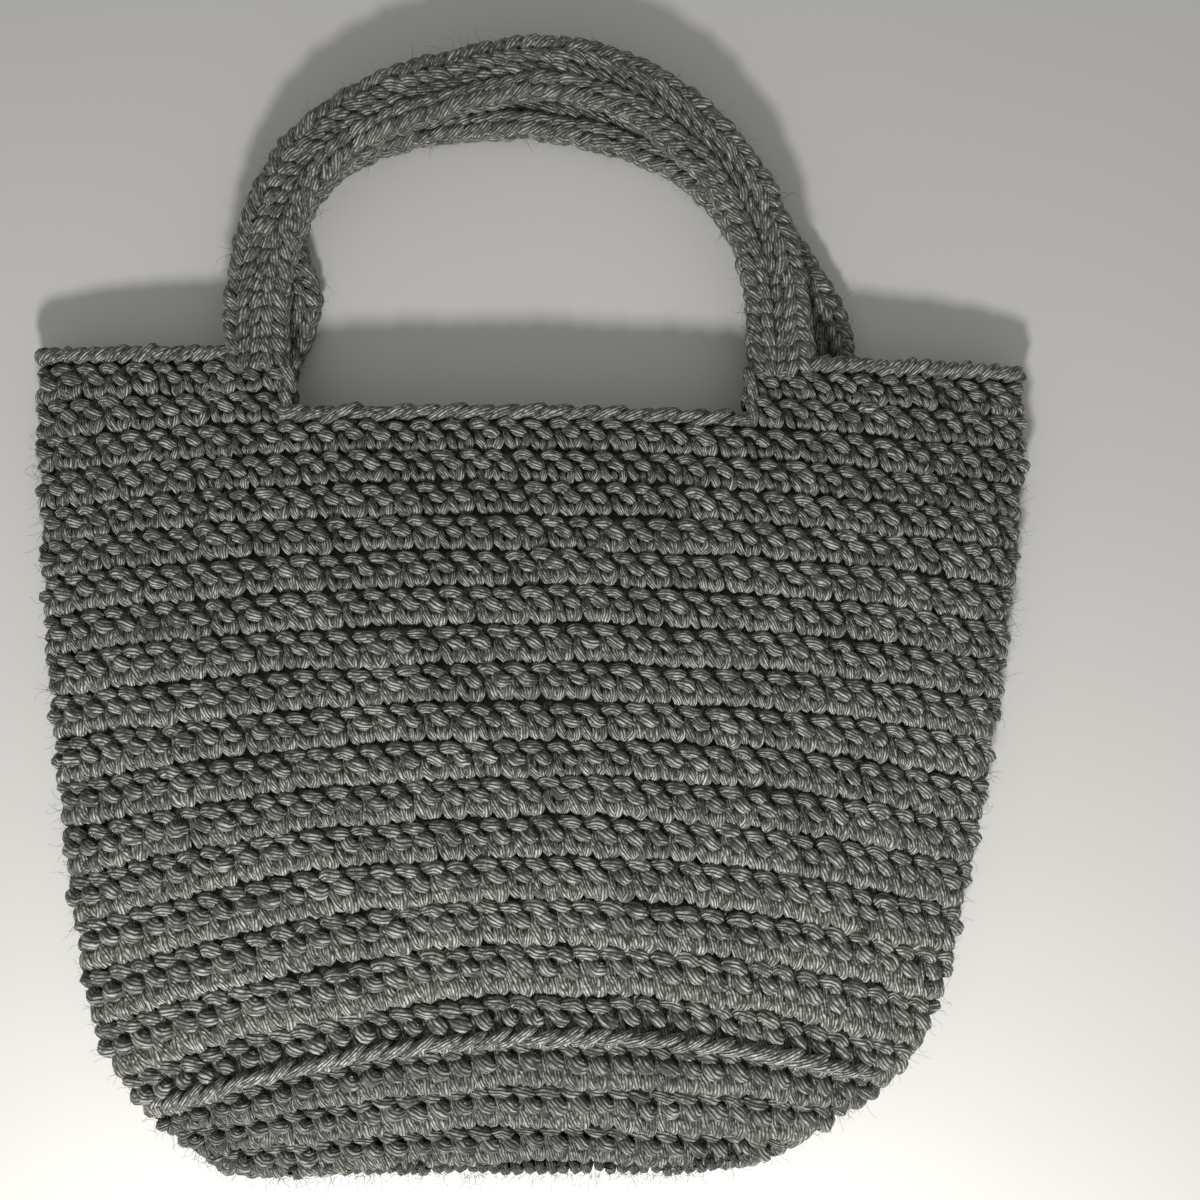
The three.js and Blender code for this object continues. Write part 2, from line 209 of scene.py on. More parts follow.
# One strand across the bottom fold, from the front to the back and behind to the next
FOLD_LOOP = np.array((
    (0.00, 5.2, -2.8, 0.85),
    (0.12, 2.8, -0.9, 0.98),
    (0.25, 0.0, -0.3, 1.05),
    (0.38, -2.6, -0.9, 0.98),
    (0.50, -4.6, -2.8, 0.85),
    (0.68, -1.5, -3.8, 0.70),
    (0.86, 1.5, -3.8, 0.70),
))
# Painted shade of a braid's or a handle's yarn by its height over the lane in millimetres: the deeper, the
# darker, and a painted highlight on the highest
LANE_SHADE_HEIGHTS = (-1.6, -0.5, 0.5, 1.4)
LANE_SHADES = (0.34, 0.60, 0.95, 1.12)


# Smooth surface of the pouch

def smoothstep(part):
    part = np.clip(part, 0, 1)
    return part * part * (3 - 2 * part)


def unit(vectors):
    return vectors / np.linalg.norm(vectors, axis=-1, keepdims=True)


def from_fold(shares):
    """Distance from the nearest side fold, as a share of a face."""
    return np.abs(np.mod(shares + 0.5, 1) - 0.5)


def reach_along(points):
    """Length along a row of points, up to each of them."""
    steps = np.linalg.norm(np.diff(points, axis=0), axis=1)
    return np.pad(np.cumsum(steps), (1, 0))


def sections_at(rounds):
    """Columns of the sections at any rounds, on smooth curves through the rows."""
    knots = SECTION_ROWS[:, 0]
    last = len(knots) - 1
    places = np.arange(last + 1)
    before, after = np.maximum(places - 1, 0), np.minimum(places + 1, last)
    slopes = (SECTION_ROWS[after] - SECTION_ROWS[before]) / (knots[after] - knots[before])[:, None]
    index = np.clip(np.searchsorted(knots, rounds) - 1, 0, last - 1)
    span = (knots[index + 1] - knots[index])[:, None]
    p = (rounds - knots[index])[:, None] / span
    start, end = SECTION_ROWS[index], SECTION_ROWS[index + 1]
    leave = p * (1 - p) ** 2 * span * slopes[index]
    arrive = p * p * (1 - p) * span * slopes[index + 1]
    table = start + (end - start) * p * p * (3 - 2 * p) + leave - arrive
    columns = {name: table[:, [i]] for i, name in enumerate(SECTION_COLUMNS)}
    columns["back"] = np.maximum(columns["back"], 0)
    return columns


def outlines(rounds, turns, inset):
    """Points of a skin below the outer one: a row for each round, a column for each turn.
    Turns 0 to 1 cross the front from the left fold, and 1 to 2 the back."""
    c = sections_at(rounds)
    inset = np.broadcast_to(inset, rounds.shape)[:, None]
    angle = math.pi * (1 - turns)
    across, rise = np.cos(angle), np.sin(angle)
    flatness = np.sin(np.minimum(math.pi / 2, CORNER_SHARPNESS * np.arcsin(np.abs(rise))))
    middle_x = (c["left_x"] + c["right_x"]) / 2
    half_x = (c["right_x"] - c["left_x"]) / 2
    side_y = (c["left_y"] + c["right_y"]) / 2
    lean = (c["right_y"] - c["left_y"]) / 2
    x = middle_x + (half_x - inset) * across
    lift = inset * smoothstep(-rounds / BASE_LIFT_ROUNDS)[:, None]
    y = side_y + lean * across + (c["middle_y"] - side_y) * (1 - across ** 2) + lift
    front_z = c["fold"] + (c["front"] - inset - c["fold"]) * rise
    back_z = c["fold"] - (c["fold"] - c["back"] - inset) * flatness
    z = np.where(rise >= 0, front_z, back_z)
    return np.stack(np.broadcast_arrays(x, y, z), axis=-1)


class Skin:
    """A skin of the pouch as a table of points and outward directions over rounds and shares.
    Shares 0 to 1 run evenly over the front, and 1 to 2 over the back."""

    ROUND_STEP = 0.05
    SHARE_STEP = 0.005
    SPARE = 4  # columns past both ends
    HEAD = 0.5  # rounds past the shoulder
    DROP_STEPS = 6

    def __init__(self, inset, lowest=BASE_END_ROUND):
        self.rounds = np.arange(lowest, SHOULDER_ROUND + self.HEAD, self.ROUND_STEP)
        count = round(2 / self.SHARE_STEP)
        self.shares = np.arange(-self.SPARE, count + self.SPARE + 1) * self.SHARE_STEP
        insets = inset(self.rounds)
        even = np.linspace(0, 2, 2 * OUTLINE_STEPS + 1)
        rough = outlines(self.rounds, np.broadcast_to(even, (len(self.rounds), len(even))), insets)
        steps = np.linalg.norm(np.diff(rough, axis=1), axis=2)
        reach = np.pad(np.cumsum(steps, axis=1), ((0, 0), (1, 0)))
        self.fronts, self.laps = reach[:, OUTLINE_STEPS], reach[:, -1]
        wrapped = np.mod(self.shares, 2)
        turns = np.empty((len(self.rounds), len(self.shares)))
        for row, lengths in enumerate(reach):
            wanted = np.interp(wrapped, (0, 1, 2), (0, self.fronts[row], self.laps[row]))
            turns[row] = np.interp(wanted, lengths, even)
        self.points = outlines(self.rounds, turns, insets)
        along = np.gradient(self.points, self.SHARE_STEP, axis=1)
        upward = np.gradient(self.points, self.ROUND_STEP, axis=0)
        self.outward = unit(np.cross(along, upward))
        self.lean = (along * upward).sum(axis=2, keepdims=True) / (along ** 2).sum(axis=2, keepdims=True)
        self.rise = np.linalg.norm(upward - along * self.lean, axis=2, keepdims=True)

    def read(self, table, rounds, shares):
        row = (rounds - self.rounds[0]) / self.ROUND_STEP
        column = (np.mod(shares, 2) - self.shares[0]) / self.SHARE_STEP
        i = np.clip(row.astype(int), 0, len(self.rounds) - 2)
        j = np.clip(column.astype(int), 0, len(self.shares) - 2)
        p, q = (row - i)[..., None], (column - j)[..., None]
        low = table[i, j] * (1 - q) + table[i, j + 1] * q
        high = table[i + 1, j] * (1 - q) + table[i + 1, j + 1] * q
        return low * (1 - p) + high * p

    def at(self, rounds, shares):
        """Points and outward directions, read off the table."""
        return self.read(self.points, rounds, shares), unit(self.read(self.outward, rounds, shares))

    def below(self, start, shares, drop, in_mm):
        """Rounds and shares at a drop below a round, square to it, in millimetres or in rounds."""
        rounds = np.full(len(shares), float(start))
        for _ in range(self.DROP_STEPS):
            here = np.maximum(rounds, BASE_END_ROUND)
            step = drop / self.DROP_STEPS
            if in_mm:
                step = step / self.read(self.rise, here, shares)[:, 0]
            shares = shares + self.read(self.lean, here, shares)[:, 0] * step
            rounds = rounds - step
        return rounds, shares

    def place(self, rounds, shares, out):
        """Points at a height over the skin. Past the bottom fold they come round to the other side."""
        past = rounds < BASE_END_ROUND
        rounds = np.where(past, 2 * BASE_END_ROUND - rounds, rounds)
        shares = np.where(past, -shares, shares)
        points, outward = self.at(rounds, shares)
        return points + outward * out[..., None]

    def row_of(self, wanted):
        return int(round((wanted - self.rounds[0]) / self.ROUND_STEP))

    def lengths(self, wanted):
        """Lengths of a round over the front and all the way round."""
        row = self.row_of(wanted)
        return self.fronts[row], self.laps[row]

    def share_at(self, wanted, on_front, x):
        """Share of a round at which its front or its back passes a place across the bag."""
        first, way = (0, 1) if on_front else (1, -1)
        inside = (self.shares >= first) & (self.shares <= first + 1)
        places = self.points[self.row_of(wanted), inside, 0]
        return float(np.interp(x, places[::way], self.shares[inside][::way]))


def bed_depth(rounds):
    return np.interp(rounds, (BASE_END_ROUND, FOLD_BED_ROUND), (FOLD_BED, BED))


SKIN = Skin(bed_depth)

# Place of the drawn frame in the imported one: the solids were moved to the middle of their footprint
half_rounds = np.arange(0.5, SHOULDER_ROUND, 1.0)
drawn = sections_at(half_rounds)
body_low, body_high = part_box("body")
base_low, base_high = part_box("base")
SHIFT = np.array((
    (body_low.x + body_high.x) / 2 - (drawn["left_x"].min() + drawn["right_x"].max()) / 2 * MM,
    base_low.y - SECTION_ROWS[0, SECTION_COLUMNS.index("left_y")] * MM,
    body_low.z,
))


# Strands

NEARLY_UPRIGHT = 1e-6  # square of the sine of a strand's lean


def smooth_curve(knots, index, p, closed=False):
    """Points at a share of the span after each indexed knot, on a smooth curve through the knots."""
    count = len(knots)
    places = (index + step for step in (-1, 0, 1, 2))
    a, b, c, d = (knots[place % count if closed else np.clip(place, 0, count - 1)] for place in places)
    return b + 0.5 * p * (c - a + p * (2 * a - 5 * b + 4 * c - d + p * (3 * (b - c) + d - a)))


def strand_path(controls, shown, closed):
    """Curve through control rows (x, y, z, thickness, shade, stitch), finer where the yarn shows."""
    spans = np.where(shown, 2, 1)
    if not closed:
        spans[-1] = 1
    index = np.repeat(np.arange(len(controls)), spans)
    first = np.cumsum(spans) - spans
    p = ((np.arange(len(index)) - first[index]) / spans[index])[:, None]
    curve = smooth_curve(controls[:, :5], index, p, closed)
    return curve[:, :3], curve[:, 3], curve[:, 4], controls[index, 5].astype(int)


def carried_frames(along, closed):
    """Directions across a strand that turn as little as they can from ring to ring."""
    side = np.empty_like(along)
    carried = np.cross(along[0], (0.0, 0.0, 1.0))
    if carried @ carried < NEARLY_UPRIGHT:
        carried = np.cross(along[0], (1.0, 0.0, 0.0))
    for ring, direction in enumerate(along):
        carried = carried - direction * (carried @ direction)
        carried = carried / math.sqrt(carried @ carried)
        side[ring] = carried
    if closed:
        end = side[-1] - along[0] * (side[-1] @ along[0])
        cosine = end @ side[0]
        sine = np.cross(end, side[0]) @ along[0]
        turn = math.atan2(sine, cosine) * np.arange(len(along)) / len(along)
        other = np.cross(along, side)
        side = side * np.cos(turn)[:, None] + other * np.sin(turn)[:, None]
    return side, np.cross(along, side)


TURNED = (0, 3, 2, 1)  # order of a quad's corners that turns it over


def tube_quads(rings, sides, closed=False):
    """Quads of a tube whose points are numbered round each ring in turn."""
    ring, step = np.ogrid[:rings if closed else rings - 1, :sides]
    after, beside = (ring + 1) % rings, (step + 1) % sides
    corners = (ring * sides + step, ring * sides + beside, after * sides + beside, after * sides + step)
    return np.stack(corners, axis=-1).reshape(-1, 4)


class Yarn:
    """Strands gathered for one piece. Each stitch has its own patch of the bake map."""

    BAKE_MARGIN = 0.03
    BAKE_SPARE = 0.999  # corner of the bake map for the ends of the strands

    def __init__(self, diameter=YARN, sides=STRAND_SIDES):
        self.radius = diameter / 2
        self.sides = sides
        self.points, self.tones, self.quads, self.caps, self.corners = [], [], [], [], []
        self.count = 0
        self.patches = 0

    def add(self, controls, shown, tones, closed=False):
        path, plump, shade, stitch = strand_path(controls, shown, closed)
        rings, sides = len(path), self.sides
        ahead = np.roll(path, -1, axis=0)
        behind = np.roll(path, 1, axis=0)
        if not closed:
            ahead[-1], behind[0] = path[-1], path[0]
        side, up = carried_frames(unit(ahead - behind), closed)
        angle = 2 * math.pi * np.arange(sides) / sides
        spokes = side[:, None] * np.cos(angle)[:, None] + up[:, None] * np.sin(angle)[:, None]
        points = (path[:, None] + spokes * (plump * self.radius)[:, None, None]).reshape(-1, 3)
        points[:, 2] = np.maximum(points[:, 2], 0)  # pressed flat on the table
        self.points.append(points)
        # each point's tone is its stitch's own tone times its painted shade and highlight
        self.tones.append(np.repeat(tones[stitch] * shade, sides))
        self.quads.append(tube_quads(rings, sides, closed) + self.count)
        if not closed:
            self.caps.append(np.arange(sides)[::-1] + self.count)
            self.caps.append(np.arange(sides) + self.count + (rings - 1) * sides)

        reach = reach_along(path)
        reach = np.append(reach, reach[-1] + np.linalg.norm(path[0] - path[-1]))
        per_stitch = np.bincount(stitch)
        first = np.cumsum(per_stitch) - per_stitch
        part = np.arange(rings) - first[stitch]
        ring, step = np.ogrid[:rings if closed else rings - 1, :sides]
        patch = stitch[ring] + self.patches
        corners = []
        for beyond, beside in ((0, 0), (0, 1), (1, 1), (1, 0)):
            share = (part[ring] + beyond) / per_stitch[stitch[ring]]
            values = ((step + beside) / sides, reach[ring + beyond], share, patch)
            corners.append(np.stack(np.broadcast_arrays(*values), -1))
        self.corners.append(np.stack(corners, 2).reshape(-1, 4))
        self.count += rings * sides
        self.patches += int(stitch.max()) + 1

    def piece(self, name, material, slot):
        around, length, part, patch = np.concatenate(self.corners).T
        grid = math.ceil(math.sqrt(self.patches))
        margin = self.BAKE_MARGIN
        bake_u = (patch % grid + margin + (1 - 2 * margin) * around) / grid
        bake_v = (patch // grid + margin + (1 - 2 * margin) * part) / grid
        ends = ((0, len(self.caps) * self.sides), (0, 0))
        maps = {
            "Yarn": np.pad(np.stack((around, length), -1), ends),
            "OFBake": np.pad(np.stack((bake_u, bake_v), -1), ends, constant_values=self.BAKE_SPARE),
        }
        quads = np.concatenate(self.quads)
        obj = mesh_object(name, np.concatenate(self.points), quads, self.caps, maps, material)
        tone = obj.data.attributes.new("tone", "FLOAT", "POINT")
        tone.data.foreach_set("value", np.concatenate(self.tones).astype(np.float32))
        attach(obj, "root")
        return obj


def add_object(name, data):
    obj = bpy.data.objects.new(name, data)
    bpy.context.scene.collection.objects.link(obj)
    return obj


def mesh_object(name, points, quads, caps, maps, material):
    """A smooth mesh of quads and capping polygons, with its maps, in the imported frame."""
    mesh = bpy.data.meshes.new(name)
    corners = np.concatenate([quads.reshape(-1)] + list(caps)).astype(np.int32)
    sizes = np.concatenate((np.full(len(quads), 4), [len(cap) for cap in caps])).astype(np.int32)
    starts = (np.cumsum(sizes) - sizes).astype(np.int32)
    mesh.vertices.add(len(points))
    mesh.vertices.foreach_set("co", (points * MM + SHIFT).astype(np.float32).reshape(-1))
    mesh.loops.add(len(corners))
    mesh.loops.foreach_set("vertex_index", corners)
    mesh.polygons.add(len(sizes))
    mesh.polygons.foreach_set("loop_start", starts)
    mesh.polygons.foreach_set("use_smooth", np.ones(len(sizes), bool))
    mesh.update(calc_edges=True)
    for map_name, places in maps.items():
        layer = mesh.uv_layers.new(name=map_name)
        layer.data.foreach_set("uv", places.astype(np.float32).reshape(-1))
    mesh.materials.append(material)
    return add_object(name, mesh)


# Stitches worked round the pouch

class Round:
    """A round of stitches, or a stretch of one, hung below a line round the pouch."""

    # spread of a whole stitch and of its single points
    ACROSS_JITTER = (0.06, 0.04)
    UP_JITTER = (0.03, 0.022)
    OUT_JITTER = (0.11, 0.07)
    SIZE_JITTER = (0.11, 0.06)
    TONE_JITTER = 0.14
    USUAL_HEIGHT = 11.4
    HEIGHT_SHARE = 0.85  # how far the yarn swells and thins with the height of its round
    SWELL = (0.82, 1.20)
    BAR_LEVEL = 0.67  # share of a round's height above which a stitch has its upper bar
    FAN_LEVEL = 0.40  # and below which its legs spread out and are painted lighter, a painted highlight
    FAN_HIGHLIGHT = 0.34
    FOLD_REACH = 0.28  # share of a face beside a side fold where rounds lie closer together
    FOLD_OVERLAP = 0.07
    FOLD_RELIEF = 0.40  # by which the painted shade in the depths is less dark there
    WAVES = (3, 5, 8, 13)  # to a lap, by which a round strays up and down
    WAVE = 0.018  # of its height, for each

    def __init__(self, top, height, pitch, phase, seed, stretch=(0.0, 2.0), in_mm=False,
                 tone=1.0, bars=0.0, relief=1.0):
        self.top, self.height, self.in_mm = top, height, in_mm
        self.tone, self.bars, self.relief = tone, bars, relief
        self.closed = stretch == (0.0, 2.0)
        self.front, self.lap = SKIN.lengths(top)
        start, end = (self.length_at(share) for share in stretch)
        self.count = max(1, round((end - start) / pitch))
        self.pitch = (end - start) / self.count
        self.start = start + (phase * self.pitch if self.closed else 0)
        self.random = np.random.default_rng(SEED + seed)

    def length_at(self, share):
        laps = math.floor(share / 2)
        rest = share - 2 * laps
        return laps * self.lap + np.interp(rest, (0, 1, 2), (0, self.front, self.lap))

    def shares_at(self, lengths):
        laps = np.floor(lengths / self.lap)
        rest = lengths - laps * self.lap
        return 2 * laps + np.interp(rest, (0, self.front, self.lap), (0, 1, 2))

    def swell(self, shares):
        """Thickness of the yarn for the height that the round has there."""
        height = self.height
        if not self.in_mm:
            middle = np.full(len(shares), self.top - self.height / 2)
            height = self.height * SKIN.read(SKIN.rise, middle, shares)[:, 0]
        return np.clip((height / self.USUAL_HEIGHT) ** self.HEIGHT_SHARE, *self.SWELL)

    def work(self, yarn):
        count, points = self.count, len(STITCH)

        def varied(column, jitter):
            whole, single = jitter
            column = column + self.random.uniform(-whole, whole, (count, 1))
            return (column + self.random.uniform(-single, single, (count, points))).reshape(-1)

        across, up, level, plump, on_back = STITCH.T
        heights = level + self.bars * (up > self.BAR_LEVEL)
        # painted highlight on the legs where they spread out
        fan_highlight = 1 + self.FAN_HIGHLIGHT * np.clip(1 - up / self.FAN_LEVEL, 0, 1)
        # painted shade: the deeper a point of the stitch lies, the darker it is painted
        depths = np.interp(heights, SHADE_HEIGHTS, SHADES) ** self.relief
        hidden = np.minimum(level, np.roll(level, -1)) <= SHOWN_ABOVE
        across = varied(across, self.ACROSS_JITTER)
        up = varied(up, self.UP_JITTER)
        out = varied(heights, self.OUT_JITTER)
        plump = varied(plump, self.SIZE_JITTER)
        stitch = np.repeat(np.arange(count), points)
        for wave, start in zip(self.WAVES, self.random.uniform(0, 2 * math.pi, len(self.WAVES))):
            up = up + self.WAVE * np.sin(start + 2 * math.pi * wave * (stitch + across) / count)
        shares = self.shares_at(self.start + (stitch + across) * self.pitch)
        near_fold = 1 - smoothstep(from_fold(shares) / self.FOLD_REACH)
        shade = np.tile(depths, count) ** (1 - self.FOLD_RELIEF * near_fold) * np.tile(fan_highlight, count)
        drop = (1 - up) * self.height * (1 + self.FOLD_OVERLAP * near_fold)
        on_front = np.mod(shares + FRONT_MARGIN, 2) < 1 + 2 * FRONT_MARGIN
        worked = on_front | (np.tile(on_back, count) > 0)
        shown = on_front & ~np.tile(hidden, count)
        plump = plump * self.swell(shares)
        placed = SKIN.place(*SKIN.below(self.top, shares, drop, self.in_mm), out * YARN)
        controls = np.column_stack((placed, plump, shade, stitch))
        tones = self.tone * (1 + self.random.uniform(-self.TONE_JITTER, self.TONE_JITTER, count))
        yarn.add(controls[worked], shown[worked], tones, self.closed)


# Braids and rows of loops along a line

class Lane:
    """A line on the bag that a row of loops follows, with its outward and sideways directions."""

    SLANT_JITTER = 0.25
    SIZE_JITTER = 0.05
    TONE_JITTER = 0.10
    SHOWN_ABOVE = -1.2
    SPARE = 0.15  # of a pitch, left after the last loop of an open row

    def __init__(self, points, outward):
        self.reach = reach_along(points)
        self.points = points
        along = unit(np.gradient(points, axis=0))
        self.side = unit(np.cross(outward, along))
        self.outward = np.cross(along, self.side)

    def place(self, along, side, out):
        def read(table):
            return np.stack([np.interp(along, self.reach, column) for column in table.T], -1)
        return read(self.points) + read(self.side) * side[:, None] + read(self.outward) * out[:, None]

    def work(self, yarn, pattern, pitch, seed, closed=False, slant=1.0, jitter=0.12, tone=1.0):
        """Loops along the lane; a negative slant turns them over."""
        total = self.reach[-1]
        spare = 0 if closed else self.SPARE
        count = max(1, round(total / pitch))
        pitch = total / (count + spare)
        random = np.random.default_rng(SEED + seed)
        whole = (count, 1)
        across, side, out, plump = (np.tile(column, whole) for column in pattern.T)
        across = across + random.normal(0, jitter / pitch, whole)
        lean = 1 + random.normal(0, self.SLANT_JITTER, whole)
        side = side * slant * lean + random.normal(0, jitter, whole)
        out = out + random.normal(0, jitter, whole)
        plump = plump + random.normal(0, self.SIZE_JITTER, whole)
        stitch = np.repeat(np.arange(count), len(pattern))
        along = (stitch + across.reshape(-1)) * pitch
        along = np.mod(along, total) if closed else np.clip(along, 0, total)
        placed = self.place(along, side.reshape(-1), out.reshape(-1))
        shown = np.minimum(pattern[:, 2], np.roll(pattern[:, 2], -1)) > self.SHOWN_ABOVE
        # painted shade and highlight by each point's height over the lane
        shade = np.interp(pattern[:, 2], LANE_SHADE_HEIGHTS, LANE_SHADES)
        controls = np.column_stack((placed, plump.reshape(-1), np.tile(shade, count), stitch))
        tones = tone * (1 + random.normal(0, self.TONE_JITTER, count))
        yarn.add(controls, np.tile(shown, count), tones, closed)


def skin_lane(rounds, shares, out, side=0.0):
    """Lane along places on the skin, moved outward and to its left."""
    points, outward = SKIN.at(np.asarray(rounds, float), np.asarray(shares, float))
    lane = Lane(points, outward)
    out = np.broadcast_to(out, len(points))[:, None]
    return Lane(points + lane.outward * out + lane.side * side, outward)


# Materials

PLIES = 11
PLY_SPLIT = 0.8  # depth of the splits between plies, in the bump and painted dark in the colour as a painted shade
PLY_FLATNESS = 2.3
TWIST = 0.22  # plies passed for each millimetre along the yarn
WANDER = 0.9  # plies by which they stray
STROKE_CONTRAST = 1.9
STROKE_STEP = 3.7  # from ply to ply, so that each has its own tone
STROKE_RUN = 0.45  # changes of a ply's tone for each millimetre
FIBRES = 3.0  # for each ply
FIBRE_RUN = 0.30  # for each millimetre
FIBRE_WEIGHT = 0.60
FLUFF_WEIGHT = 0.55
PETAL_MEAN = 0.38  # of a ply's tone, so that more contrast makes the yarn no paler
TONE_OFFSET = 0.05
PATCHINESS = 0.36
# Colours of the yarn: the darkest stop is painted shade in the splits between plies, the brightest a painted
# highlight on the shiniest fibres
YARN_STOPS = (
    (0.22, (0.030, 0.0300, 0.0260)),
    (0.48, (0.104, 0.1045, 0.0925)),
    (0.70, (0.255, 0.2555, 0.2300)),
    (0.95, (0.600, 0.5980, 0.5500)),
)
# Colours of the wrong side and of the yarn deep between the stitches, darker than the yarn as a painted
# shade
DEPTH_STOPS = (
    (0.15, (0.045, 0.045, 0.039)),
    (0.55, (0.095, 0.094, 0.083)),
    (1.00, (0.180, 0.178, 0.159)),
)
DEPTH_WEIGHTS = (0.7, 0.4)  # of the bumps, whose creases are painted darkest as a painted shade, and of the fluff


class Nodes:
    """A new material and short ways to add nodes to it. A value may be another node's output."""

    def __init__(self, name):
        self.material = bpy.data.materials.new(name)
        self.material.use_nodes = True
        self.tree = self.material.node_tree
        self.shader = self.tree.nodes["Principled BSDF"]
        self.spot = self.new("ShaderNodeTexCoord").outputs["Object"]

    def put(self, value, socket):
        if isinstance(value, bpy.types.NodeSocket):
            self.tree.links.new(value, socket)
        else:
            socket.default_value = value

    def fill(self, made, values):
        for name, value in values.items():
            self.put(value, made.inputs[name.replace("_", " ")])

    def shade(self, **values):
        self.fill(self.shader, values)

    def new(self, kind, settings=None, **values):
        made = self.tree.nodes.new(kind)
        for name, value in (settings or {}).items():
            setattr(made, name, value)
        self.fill(made, values)
        return made

    def maths(self, operation, *values, kind="ShaderNodeMath"):
        made = self.new(kind, {"operation": operation})
        for socket, value in zip(made.inputs, values):
            self.put(value, socket)
        return made.outputs[0]

    def weighed(self, parts, offset=0.0):
        """Sum of weighed values and an offset."""
        total = offset
        for value, weight in parts:
            total = self.maths("ADD", self.maths("MULTIPLY", value, weight), total)
        return total

    def noise(self, vector, scale, detail, roughness=0.5):
        made = self.new("ShaderNodeTexNoise", Vector=vector, Scale=scale, Detail=detail, Roughness=roughness)
        return made.outputs[0]

    def ramp(self, factor, stops):
        made = self.new("ShaderNodeValToRGB")
        elements = made.color_ramp.elements
        while len(elements) < len(stops):
            elements.new(0.5)
        for element, (place, colour) in zip(elements, stops):
            element.position = place
            element.color = (*colour, 1)
        self.put(factor, made.inputs[0])
        return made.outputs[0]

    def yarn_map(self):
        """Places round and along a strand, or across and up the fabric."""
        place = self.new("ShaderNodeUVMap", {"uv_map": "Yarn"})
        split = self.new("ShaderNodeSeparateXYZ", Vector=place.outputs[0])
        return split.outputs[0], split.outputs[1]

    def bump(self, height, strength, distance):
        made = self.new("ShaderNodeBump", Height=height, Strength=strength, Distance=distance)
        self.shade(Normal=made.outputs[0])


def yarn_material(name, contrast=1.15):
    """Plied yarn: plies twisted round each strand, each in strokes of its own tone, with fine fibres
    along them, fluff, a tone for each stitch and painted shade where the yarn lies deep. The splits
    between plies are painted dark, a painted shade, and the brightest strokes are a painted highlight."""
    nodes = Nodes(name)
    maths, weighed, noise, spot = nodes.maths, nodes.weighed, nodes.noise, nodes.spot
    around, along = nodes.yarn_map()
    wander = noise(spot, scale=260.0, detail=1.0)
    phase = weighed(((around, PLIES), (along, TWIST), (wander, WANDER)))
    from_middle = maths("ABSOLUTE", weighed(((maths("FRACT", phase), 2.0),), -1.0))
    ply = weighed(((maths("POWER", from_middle, PLY_FLATNESS), -PLY_SPLIT),), 1.0)

    def lengthwise(value, across, run, detail):
        across, run = maths("MULTIPLY", value, across), maths("MULTIPLY", along, run)
        places = nodes.new("ShaderNodeCombineXYZ", X=across, Y=run)
        return noise(places.outputs[0], scale=1.0, detail=detail, roughness=0.65)

    stroke = lengthwise(maths("FLOOR", phase), STROKE_STEP, STROKE_RUN, detail=1.0)
    stroke = weighed(((stroke, STROKE_CONTRAST),), (1 - STROKE_CONTRAST) / 2)
    # ply gives the painted shade in the splits, stroke each ply's own tone with its brightest a painted
    # highlight
    petal = maths("MULTIPLY", ply, stroke)
    fibre = lengthwise(phase, FIBRES, FIBRE_RUN, detail=3.0)
    fluff = noise(spot, scale=1700.0, detail=2.0)
    parts = ((petal, contrast), (fibre, FIBRE_WEIGHT), (fluff, FLUFF_WEIGHT))
    colour = nodes.ramp(weighed(parts, TONE_OFFSET - PETAL_MEAN * contrast), YARN_STOPS)

    # tone of each stitch times the painted shade and highlight of each point
    tone = nodes.new("ShaderNodeAttribute", {"attribute_name": "tone"}).outputs["Fac"]
    patch = weighed(((noise(spot, scale=38.0, detail=3.0), PATCHINESS),), 1 - PATCHINESS / 2)
    tint = maths("MULTIPLY", tone, patch)
    tinted = maths("MULTIPLY", colour, tint, kind="ShaderNodeVectorMath")
    nodes.shade(Base_Color=tinted, Roughness=weighed(((fibre, -0.30),), 0.72))
    nodes.shade(Sheen_Weight=0.20, Sheen_Roughness=0.5, Sheen_Tint=(0.80, 0.80, 0.75, 1))
    nodes.shade(Specular_IOR_Level=0.45)
    nodes.bump(weighed(((petal, 1.4), (fibre, 0.5))), strength=1.0, distance=0.0008)
    return nodes.material


def depth_material():
    """Wrong side of the crochet and the yarn deep between the stitches: rows of bumps, painted dim
    as a painted shade and darkest in the creases between them.
    """
    nodes = Nodes("fabric_depth_painted_shade")
    maths = nodes.maths
    waves = [maths("SINE", maths("MULTIPLY", place, math.pi)) for place in nodes.yarn_map()]
    across, upward = (maths("ABSOLUTE", wave) for wave in waves)
    bumps = maths("MULTIPLY", maths("POWER", across, 0.5), maths("POWER", upward, 0.6))
    fluff = nodes.noise(nodes.spot, scale=900.0, detail=3.0)
    mixed = nodes.weighed(zip((bumps, fluff), DEPTH_WEIGHTS))
    nodes.shade(Base_Color=nodes.ramp(mixed, DEPTH_STOPS), Roughness=0.95, Specular_IOR_Level=0.1)
    nodes.bump(mixed, strength=0.8, distance=0.0012)
    return nodes.material


yarn_body = yarn_material("yarn_body")
yarn_braid = yarn_material("yarn_braid")
yarn_handle = yarn_material("yarn_handle", contrast=0.85)
fabric_depth_painted_shade = depth_material()


# Pouch

HALF_STRAP = STRAP_WIDTH / 2
LEFT, RIGHT = 0, 1  # feet of a strap


def beside_foot(on_front, foot, way):
    """Share of the shoulder's edge at one side of a strap's foot, to the left of it for a way of -1."""
    strap = FRONT_STRAP if on_front else BACK_STRAP
    return SKIN.share_at(SHOULDER_ROUND, on_front, strap["feet"][foot] + way * HALF_STRAP)


